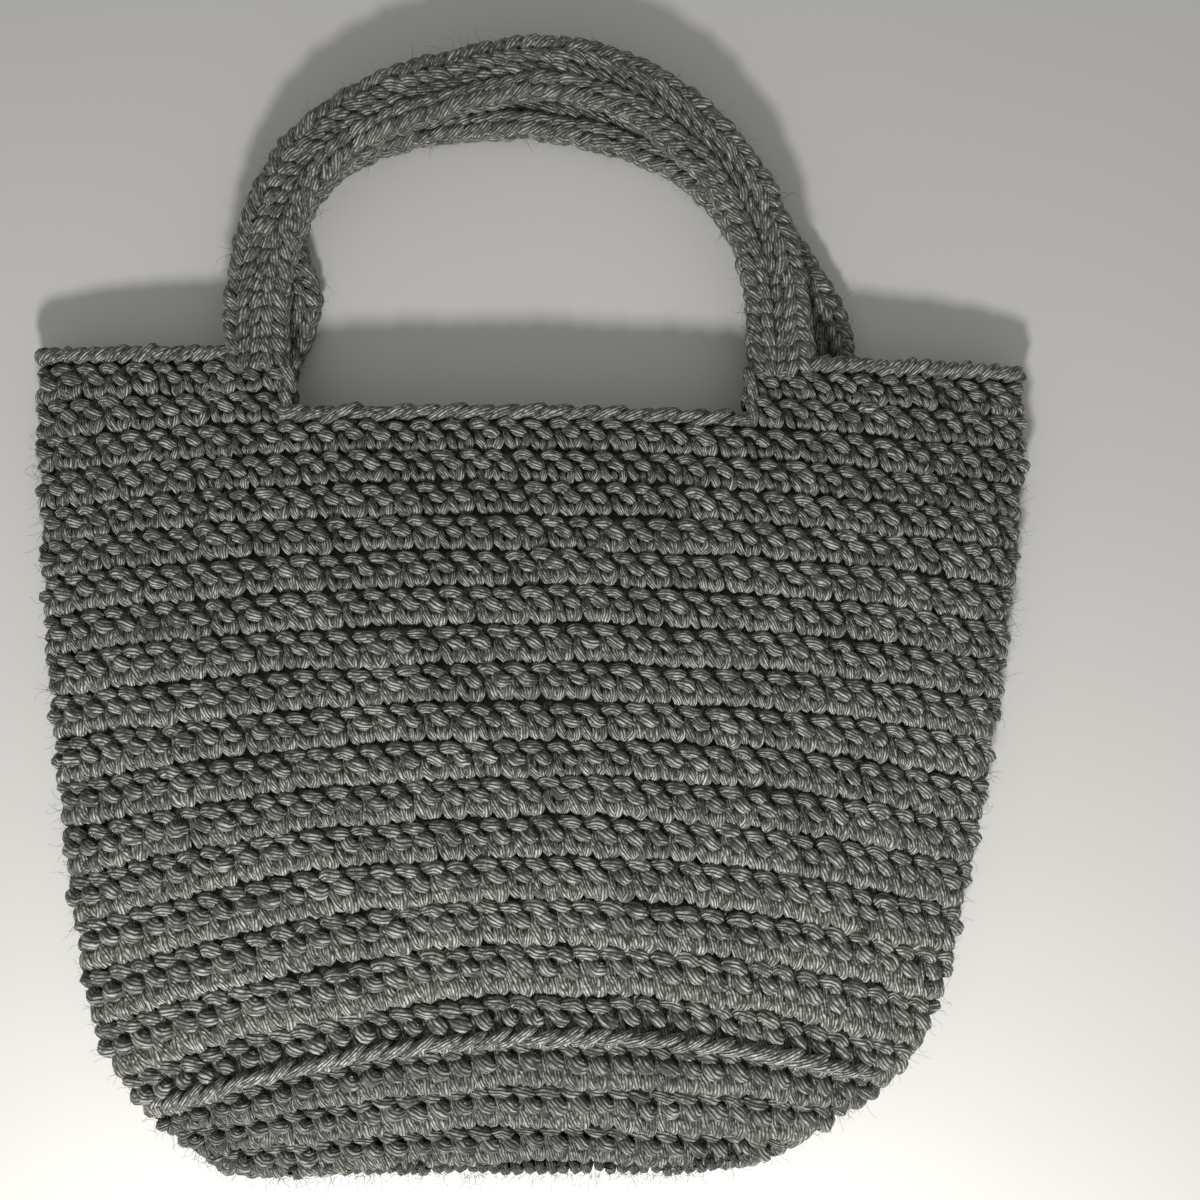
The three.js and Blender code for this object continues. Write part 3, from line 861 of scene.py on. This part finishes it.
FRONT_LEFT = beside_foot(True, LEFT, 1)
FRONT_RIGHT = beside_foot(True, RIGHT, -1)
BACK_RIGHT = beside_foot(False, RIGHT, -1)
BACK_LEFT = beside_foot(False, LEFT, 1)
CORE_DEPTH = 4.0
CORE_ROUND = -3.0  # from which the shell has this depth
CORE_FOLD_ROUND = -3.4
CORE_FOLD_DEPTH = 0.8
CORE_STEP = 0.5
# ends of each stretch of the shell, its columns, and whether it rises to the shoulder
CORE_STRETCHES = (
    (0, FRONT_LEFT, 14, True),
    (FRONT_LEFT, FRONT_RIGHT, 34, False),
    (FRONT_RIGHT, 1, 14, True),
    (1, BACK_RIGHT, 12, True),
    (BACK_RIGHT, BACK_LEFT, 36, False),
    (BACK_LEFT, 2, 14, True),
)
POCKET_DEPTH = WALL - 0.5
POCKET_WAVE = 0.8  # depth of its rounds
POCKET_FOLD_ROUND = -2.2
POCKET_STEPS = (0.275, 0.25)  # below the ridge and above
BUMPS = 36  # across a face


def pouch_core():
    """Shell behind the stitches, from the bottom fold to the rims, with the wrong side within."""
    shares, tall = [], []
    for start, end, count, rises in CORE_STRETCHES:
        shares.extend(np.linspace(start, end, count, endpoint=False))
        tall.extend([rises] * count)
    tall = np.array(tall)
    columns = len(shares)
    column = np.arange(columns)
    half = column[:columns // 2]
    fold = np.column_stack((half, (columns - half) % columns, columns - half - 1, half + 1))
    whole_rounds = np.arange(CORE_ROUND, SHOULDER_ROUND, CORE_STEP)
    outer_rounds = np.concatenate(((CORE_FOLD_ROUND,), whole_rounds, (SHOULDER_ROUND,)))
    low_step, step = POCKET_STEPS
    low_rounds = np.arange(POCKET_FOLD_ROUND, 0, low_step)
    inner_rounds = np.concatenate((low_rounds, np.arange(0, SHOULDER_ROUND + step / 2, step)))

    def outer_inset(rounds):
        return np.interp(rounds, (CORE_FOLD_ROUND, CORE_ROUND), (CORE_FOLD_DEPTH, CORE_DEPTH))

    def inner_inset(rounds):
        return POCKET_DEPTH + POCKET_WAVE * np.abs(np.sin(math.pi * rounds))

    points, places, quads, rims = [], [], [], []
    first = 0
    skins = ((outer_rounds, outer_inset, (0, 1, 2, 3)), (inner_rounds, inner_inset, TURNED))
    for rounds, inset, order in skins:
        rows, across = np.meshgrid(rounds, shares, indexing="ij")
        points.append(Skin(inset, rounds[0]).at(rows, across)[0].reshape(-1, 3))
        places.append(np.stack((across * BUMPS, rows), -1).reshape(-1, 2))
        cells = tube_quads(len(rounds), columns).reshape(-1, columns, 4)
        worked = cells[tall | (rounds[:-1, None] < RIM_ROUND)]
        quads.extend((first + worked[:, order], first + fold[:, order]))
        top = first + columns * np.where(tall, len(rounds) - 1, np.searchsorted(rounds, RIM_ROUND))
        rims.append((top + column, top + (column + 1) % columns))
        first += rows.size
    (a, b), (d, c) = rims
    quads = np.concatenate((*quads, np.column_stack((a, b, c, d))))
    points, places = np.concatenate(points), np.concatenate(places)
    loop_places = places[quads.reshape(-1)]
    obj = mesh_object("pouch_core", points, quads, [], {"Yarn": loop_places}, fabric_depth_painted_shade)
    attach(obj, "root")
    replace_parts(obj, "body", "base")
    return obj


BASE_LOOK = {"tone": BASE_TONE, "bars": BASE_BARS, "relief": RELIEF_AT_RIDGE}


def pouch_rounds():
    pieces = {}
    pitches = PITCH_AT_RIDGE + PITCH_GROWTH * np.arange(SHOULDER_ROUND + 1)
    for number in range(1, RIM_ROUND + 1):
        # painted shade, darker towards the ridge
        tone = min(HIGHEST_TONE, TONE_AT_RIDGE + TONE_GROWTH * number)
        relief = min(1.0, RELIEF_AT_RIDGE + RELIEF_GROWTH * number)
        height = 1 + max(0.0, OVERLAP_AT_RIDGE - OVERLAP_LOSS * number)
        shift = ROUND_SHIFT * number
        worked = Round(number, height, pitches[number], shift, number, tone=tone, relief=relief)
        pieces[f"body_round_{number:02d}"] = [worked]
    for side, stretch in (("left", (BACK_LEFT - 2, FRONT_LEFT)), ("right", (FRONT_RIGHT, BACK_RIGHT))):
        numbers = range(RIM_ROUND + 1, SHOULDER_ROUND + 1)
        worked = [Round(number, 1, pitches[number], 0, number, stretch) for number in numbers]
        pieces[f"shoulder_rounds_{side}"] = worked
    for number, (top, height) in enumerate(BASE_ROUNDS, start=1):
        worked = Round(top, height, BASE_PITCH, -ROUND_SHIFT * number, BASE_SEED + number, **BASE_LOOK)
        pieces[f"base_round_{number}"] = [worked]
    seed = BASE_SEED + len(BASE_ROUNDS) + 1
    worked = Round(BOTTOM_ROUND, BOTTOM_HEIGHT, BASE_PITCH, 0, seed, in_mm=True, **BASE_LOOK)
    pieces["base_round_3"] = [worked]
    for name, rounds in pieces.items():
        yarn = Yarn()
        for worked in rounds:
            worked.work(yarn)
        yarn.piece(name, yarn_body, "yarn_body")


# Braids

RIDGE_ROUND = 0.14
RIDGE_STEPS = 401
RIDGE_YARN = YARN * 0.92
RIDGE_PITCH = 7.2
RIDGE_SLANT = 0.9
RIDGE_OUT = 3.2
RIDGE_SINK = 4.6  # of the ridge into the fabric at the side folds
RIDGE_FADE = 0.07  # share of a face over which it sinks
FOLD_ROW_SHARES = (0.03, 0.97)
FOLD_ROW_STEPS = 121
FOLD_ROW_ENDS = (-3.0, -2.75)  # rounds at which it ends on the side folds
CORNER_STEPS = 12
FOLD_ROW_PITCH = 3.5
FOLD_ROW_JITTER = 0.2
RIM_YARN = YARN * 0.9
RIM_PITCH = 8.2
RIM_SLANT = 0.8
RIM_STEPS = 120
RIM_RISE = 1.9  # of the braid's line above the edge of the fabric
RIM_SPREAD = 1.15  # of its two strands from the middle of the fabric
RIM_TURN = 0.008  # share of the mouth from its end to the line up the shoulder's edge
RIM_CORNER = 0.35  # rounds above the mouth at which that line ends
SIDE_STEPS = 14
SHOULDER_PITCH = 4.4
SHOULDER_STEPS = 160


def ridge_braid():
    shares = np.linspace(0, 2, RIDGE_STEPS)
    out = RIDGE_OUT - RIDGE_SINK * (1 - smoothstep(from_fold(shares) / RIDGE_FADE))
    lane = skin_lane(np.full(len(shares), RIDGE_ROUND), shares, out)
    yarn = Yarn(RIDGE_YARN)
    lane.work(yarn, LONG_LOOP, RIDGE_PITCH, RIDGE_SEED, closed=True, slant=RIDGE_SLANT)
    braid = yarn.piece("ridge_braid", yarn_braid, "yarn_braid")
    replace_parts(braid, "base_ridge")


def fold_row():
    """Strands across the bottom fold, which join its front to its back."""
    shares = np.linspace(*FOLD_ROW_SHARES, FOLD_ROW_STEPS)
    rounds = np.full(len(shares), BASE_END_ROUND)
    front, back = SKIN.at(rounds, shares)[0], SKIN.at(rounds, 2 - shares)[0]
    left, right = (np.linspace(end, BASE_END_ROUND, CORNER_STEPS, endpoint=False)
                   for end in FOLD_ROW_ENDS)
    left_points, left_outward = SKIN.at(left, np.zeros(CORNER_STEPS))
    right_points, right_outward = SKIN.at(right[::-1], np.ones(CORNER_STEPS))
    below = np.broadcast_to((0.0, -1.0, 0.0), front.shape)
    points = np.concatenate((left_points, (front + back) / 2, right_points))
    outward = np.concatenate((left_outward, below, right_outward))
    yarn = Yarn()
    lane = Lane(points, outward)
    lane.work(yarn, FOLD_LOOP, FOLD_ROW_PITCH, FOLD_ROW_SEED, jitter=FOLD_ROW_JITTER, tone=BASE_TONE)
    yarn.piece("base_fold_row", yarn_body, "yarn_body")


def edge_braid(name, replaced, rounds, shares, pitch, seed):
    """Two strands of loops along an edge of the fabric, one towards each face."""
    yarn = Yarn(RIM_YARN)
    for strand, way in enumerate((1, -1)):
        lane = skin_lane(rounds, shares, way * RIM_SPREAD, RIM_RISE)
        lane.work(yarn, LONG_LOOP, pitch, seed + strand, slant=way * RIM_SLANT)
    braid = yarn.piece(name, yarn_braid, "yarn_braid")
    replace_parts(braid, replaced)


def stepped_edge(left, right):
    """Places down the edge of one shoulder, along the mouth and up the edge of the other."""
    down = np.linspace(SHOULDER_ROUND, RIM_ROUND + RIM_CORNER, SIDE_STEPS)
    across = np.linspace(left, right, RIM_STEPS)
    rounds = np.concatenate((down, np.full(RIM_STEPS, RIM_ROUND), down[::-1]))
    turn = (right - left) * RIM_TURN
    shares = np.concatenate((np.full(SIDE_STEPS, left - turn), across, np.full(SIDE_STEPS, right + turn)))
    return rounds, shares


def edges():
    front = stepped_edge(FRONT_LEFT, FRONT_RIGHT)
    back = stepped_edge(BACK_RIGHT, BACK_LEFT)
    for face, edge, seed in zip(("front", "back"), (front, back), RIM_SEEDS):
        edge_braid(f"rim_braid_{face}", f"rim_edge_{face}", *edge, RIM_PITCH, seed)
    left = beside_foot(False, LEFT, -1) - 2, beside_foot(True, LEFT, -1)
    right = beside_foot(True, RIGHT, 1), beside_foot(False, RIGHT, 1)
    rounds = np.full(SHOULDER_STEPS, float(SHOULDER_ROUND))
    for side, ends, seed in zip(("left", "right"), (left, right), SHOULDER_SEEDS):
        shares = np.linspace(*ends, SHOULDER_STEPS)
        edge_braid(f"shoulder_braid_{side}", f"shoulder_edge_{side}", rounds, shares, SHOULDER_PITCH, seed)


# Handles

STRAP_FOOT_DROP = 3.0  # of the yarn into the shoulder
STRAP_BED = 1.9  # depth of the loops' middle line below the strap's skin
STRAP_PITCH = 4.7
STRAP_JITTER = 0.28
STRAP_ROW_WIDTH = 3.75
STRAP_ROWS = 6  # to each side of the row along the middle of the top
STRAP_GROOVE = 1.2  # depth of the row along the middle of the top
# slant of the rows that show, from the outer side to the inner; the others lean in turn
ROW_SLANTS = {-3: 1.5, -2: 1.5, -1: -1.1, 0: -1.0, 1: 0.3, 2: 1.2, 3: -1.1}


def squared(part):
    return np.sign(part) * np.abs(part) ** STRAP_ROUNDNESS


class Strap:
    """A rounded band along the arch of a handle."""

    STEPS = 14  # between two points of the arch
    SECTION_STEPS = 361
    READING = 0.4  # to each side of a row, for the tilt of the skin there
    CORE_INSETS = (2.4, 1.8)  # of the core from the sides and from the top
    CORE_SIDES = 20

    def __init__(self, strap, on_front):
        feet = []
        for x in strap["feet"]:
            share = SKIN.share_at(SHOULDER_ROUND, on_front, x)
            rim = SKIN.at(np.array([float(SHOULDER_ROUND)]), np.array([share]))[0][0, 1]
            feet.append((x, rim + GAP - STRAP_FOOT_DROP, strap["foot_z"]))
        arch = [(x, y, strap["top_z"]) for x, y in strap["arch"]]
        knots = np.array([feet[0], *arch, feet[1]], float)
        index = np.repeat(np.arange(len(knots) - 1), self.STEPS)
        p = np.tile(np.arange(self.STEPS) / self.STEPS, len(knots) - 1)[:, None]
        self.middle = np.concatenate((smooth_curve(knots, index, p), knots[-1:]))
        along = unit(np.gradient(self.middle, axis=0))
        along[0], along[-1] = (0, 1, 0), (0, -1, 0)
        self.across = unit(np.cross(along, (0, 0, 1)))
        self.upward = np.cross(self.across, along)
        # half of the section, from the middle of the top round the inner side to the underside
        turn = np.linspace(0, math.pi, self.SECTION_STEPS)
        self.wide = HALF_STRAP * squared(np.sin(turn))
        self.thick = STRAP_THICKNESS / 2 * squared(np.cos(turn))
        self.reach = reach_along(np.column_stack((self.wide, self.thick)))

    def lane(self, around, out):
        side = 1.0 if around >= 0 else -1.0
        place = min(abs(around), self.reach[-1])
        reading = np.array((place - self.READING, place, place + self.READING))
        wide, thick = (np.interp(reading, self.reach, values) for values in (self.wide, self.thick))
        tilt = math.hypot(wide[2] - wide[0], thick[2] - thick[0])
        out_wide, out_thick = side * (thick[0] - thick[2]) / tilt, (wide[2] - wide[0]) / tilt
        outward = self.across * out_wide + self.upward * out_thick
        points = self.middle + self.across * side * wide[1] + self.upward * thick[1] + outward * out
        return Lane(points, outward)

    def core(self, name):
        rings, sides = len(self.middle), self.CORE_SIDES
        angle = 2 * math.pi * np.arange(sides) / sides
        wide = (HALF_STRAP - self.CORE_INSETS[0]) * squared(np.cos(angle))
        thick = (STRAP_THICKNESS / 2 - self.CORE_INSETS[1]) * squared(np.sin(angle))
        points = (self.middle[:, None] + self.across[:, None] * wide[:, None]
                  + self.upward[:, None] * thick[:, None]).reshape(-1, 3)
        quads = tube_quads(rings, sides)[:, TURNED]
        caps = [np.arange(sides), np.arange(sides)[::-1] + (rings - 1) * sides]
        flat = np.argwhere(np.ones((rings, sides))).astype(float)
        loops = np.concatenate([quads.reshape(-1)] + caps)
        obj = mesh_object(name, points, quads, caps, {"Yarn": flat[loops]}, fabric_depth_painted_shade)
        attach(obj, "root")
        return obj


def handle(name, strap, on_front, seed):
    band = Strap(strap, on_front)
    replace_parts(band.core(f"{name}_core"), name)
    yarn = Yarn(HANDLE_YARN)
    for row in range(-STRAP_ROWS, STRAP_ROWS + 1):
        sink = STRAP_GROOVE if row == 0 else 0.0
        lane = band.lane(row * STRAP_ROW_WIDTH, -STRAP_BED - sink)
        slant = ROW_SLANTS.get(row, 1.0 if row % 2 else -1.0)
        lane.work(yarn, BRICK, STRAP_PITCH, seed + STRAP_ROWS + row, slant=slant, jitter=STRAP_JITTER)
    yarn.piece(f"{name}_yarn", yarn_handle, "yarn_handle")


# Fuzz: loose fibres that stand off the yarn

FUZZ_THICKNESS = 0.13
FUZZ_TIP = 0.5  # of its thickness
FUZZ_LENGTHS = (3.0, 7.5)
FUZZ_POINTS = 5
FUZZ_RISE = (0.2, 0.9)
FUZZ_STRAY = 0.6
FUZZ_CURL = 0.55
FUZZ_TONES = (0.7, 1.3)
FUZZ_ON_FRONT = 1700
FUZZ_ON_FOLDS = 1200
FUZZ_ON_BOTTOM = 250
FUZZ_ON_HANDLE = 420
FUZZ_TO_LANE = 20  # fibres on one line along a strap
FUZZ_SPREAD = 1.3 * HALF_STRAP  # of these lines to each side, round the strap
FUZZ_FOLD_REACH = 0.035  # share of a face to each side of a fold


class Fuzz:
    """Fibres gathered for one piece, each from a point of the bag, leaning off along its surface."""

    def __init__(self, seed):
        self.random = np.random.default_rng(SEED + seed)
        self.yarn = Yarn(FUZZ_THICKNESS, sides=3)

    def on_skin(self, count, rounds, shares):
        rounds, shares = self.random.uniform(*rounds, count), self.random.uniform(*shares, count)
        self.grow(*SKIN.at(rounds, shares))

    def on_strap(self, count, band):
        for around in self.random.uniform(-FUZZ_SPREAD, FUZZ_SPREAD, count // FUZZ_TO_LANE):
            lane = band.lane(around, -STRAP_BED)
            chosen = self.random.integers(0, len(lane.points), FUZZ_TO_LANE)
            self.grow(lane.points[chosen], lane.outward[chosen])

    def grow(self, points, outward):
        count = FUZZ_POINTS
        thickness = np.linspace(1.0, FUZZ_TIP, count)
        for point, out in zip(points, outward):
            length = self.random.uniform(*FUZZ_LENGTHS)
            direction = unit(out * self.random.uniform(*FUZZ_RISE) + self.random.normal(0, FUZZ_STRAY, 3))
            places = [point + out * YARN / 2]
            for _ in range(count - 1):
                places.append(places[-1] + direction * length / (count - 1))
                direction = unit(direction + self.random.normal(0, FUZZ_CURL, 3))
            controls = np.column_stack((places, thickness, np.ones(count), np.zeros(count)))
            self.yarn.add(controls, np.zeros(count, bool), np.array([self.random.uniform(*FUZZ_TONES)]))


def fuzz():
    pouch, handles = (Fuzz(seed) for seed in FUZZ_SEEDS)
    height = (BASE_END_ROUND, RIM_ROUND)
    pouch.on_skin(FUZZ_ON_FRONT, height, (0.0, 1.0))
    for fold in (0.0, 1.0):
        pouch.on_skin(FUZZ_ON_FOLDS // 2, height, (fold - FUZZ_FOLD_REACH, fold + FUZZ_FOLD_REACH))
    pouch.on_skin(FUZZ_ON_BOTTOM, (BASE_END_ROUND, CORE_FOLD_ROUND), (0.0, 1.0))
    pouch.yarn.piece("fuzz_pouch", yarn_body, "yarn_body")
    for strap, on_front in ((FRONT_STRAP, True), (BACK_STRAP, False)):
        handles.on_strap(FUZZ_ON_HANDLE, Strap(strap, on_front))
    handles.yarn.piece("fuzz_handles", yarn_handle, "yarn_handle")


# Setting: floor, light and camera

CAMERA_PLACE = (21.0, 0.0, 440.0)
CAMERA_LENS = 42.0
CAMERA_SENSOR = 36.0
LIGHT_PLACE = (-0.02, -0.485, 0.415)
LIGHT_TILT = 7.0  # degrees from straight down, towards the bag
LIGHT_SIZE = 0.12
LIGHT_POWER = 4.3
LIGHT_COLOUR = (1.0, 0.985, 0.955)
SKY_COLOUR = (1.0, 0.99, 0.965, 1)
SKY_STRENGTH = 0.31
FLOOR_HALF = 3.0
FLOOR_STOPS = ((0.3, (0.74, 0.735, 0.715)), (0.7, (0.78, 0.775, 0.755)))


def floor():
    mesh = bpy.data.meshes.new("floor")
    corners = [(x * FLOOR_HALF, y * FLOOR_HALF, 0) for x, y in ((-1, -1), (1, -1), (1, 1), (-1, 1))]
    mesh.from_pydata(corners, [], [(0, 1, 2, 3)])
    nodes = Nodes("table_white")
    cloud = nodes.noise(nodes.spot, scale=3.0, detail=2.0)
    nodes.shade(Base_Color=nodes.ramp(cloud, FLOOR_STOPS), Roughness=0.6)
    mesh.materials.append(nodes.material)
    obj = add_object("floor", mesh)


def lights():
    data = bpy.data.lights.new("window", "AREA")
    data.shape = "DISK"
    data.size = LIGHT_SIZE
    data.energy = LIGHT_POWER
    data.color = LIGHT_COLOUR
    lamp = add_object("window", data)
    lamp.location = LIGHT_PLACE
    lamp.rotation_euler = (math.radians(LIGHT_TILT), 0, 0)
    lamp.visible_camera = False
    world = bpy.data.worlds.new("room")
    world.use_nodes = True
    sky = world.node_tree.nodes["Background"]
    sky.inputs["Color"].default_value = SKY_COLOUR
    sky.inputs["Strength"].default_value = SKY_STRENGTH
    bpy.context.scene.world = world
    bpy.context.scene.view_settings.view_transform = "Standard"


def camera():
    data = bpy.data.cameras.new("overhead")
    data.lens = CAMERA_LENS
    data.sensor_width = CAMERA_SENSOR
    obj = add_object("overhead", data)
    obj.location = np.array(CAMERA_PLACE) * MM + SHIFT
    bpy.context.scene.camera = obj


camera()
floor()
lights()
pouch_core()
pouch_rounds()
ridge_braid()
fold_row()
edges()
handle("handle_front", FRONT_STRAP, True, HANDLE_SEEDS[0])
handle("handle_back", BACK_STRAP, False, HANDLE_SEEDS[1])
fuzz()
